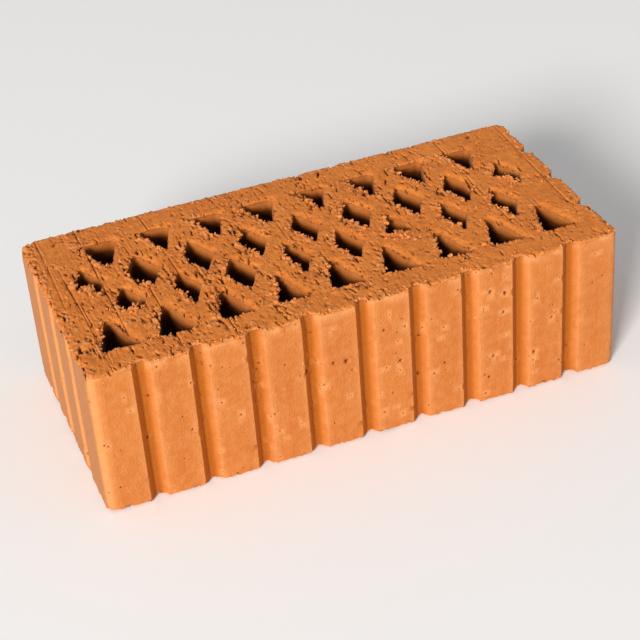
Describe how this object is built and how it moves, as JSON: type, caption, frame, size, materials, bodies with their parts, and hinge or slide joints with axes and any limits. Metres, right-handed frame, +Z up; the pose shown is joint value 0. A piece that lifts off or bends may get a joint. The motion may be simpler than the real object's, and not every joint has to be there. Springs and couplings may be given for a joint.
{
  "type": "perforated clay brick",
  "caption": "Fired clay building brick with rows of upright diamond and wedge-shaped holes and three grooved sides, for laying in mortar.",
  "frame": {"origin": "middle of the lower bed face", "axes": "+X along the length, +Y towards the back long face, +Z up, along the holes and grooves"},
  "size_m": [0.24, 0.115, 0.071],
  "materials": {
    "fired_clay": "matt, unglazed, wire-cut bed faces and smooth extruded sides"
  },
  "bodies": {
    "root": {"brick": "fired_clay"}
  },
  "joints": []
}
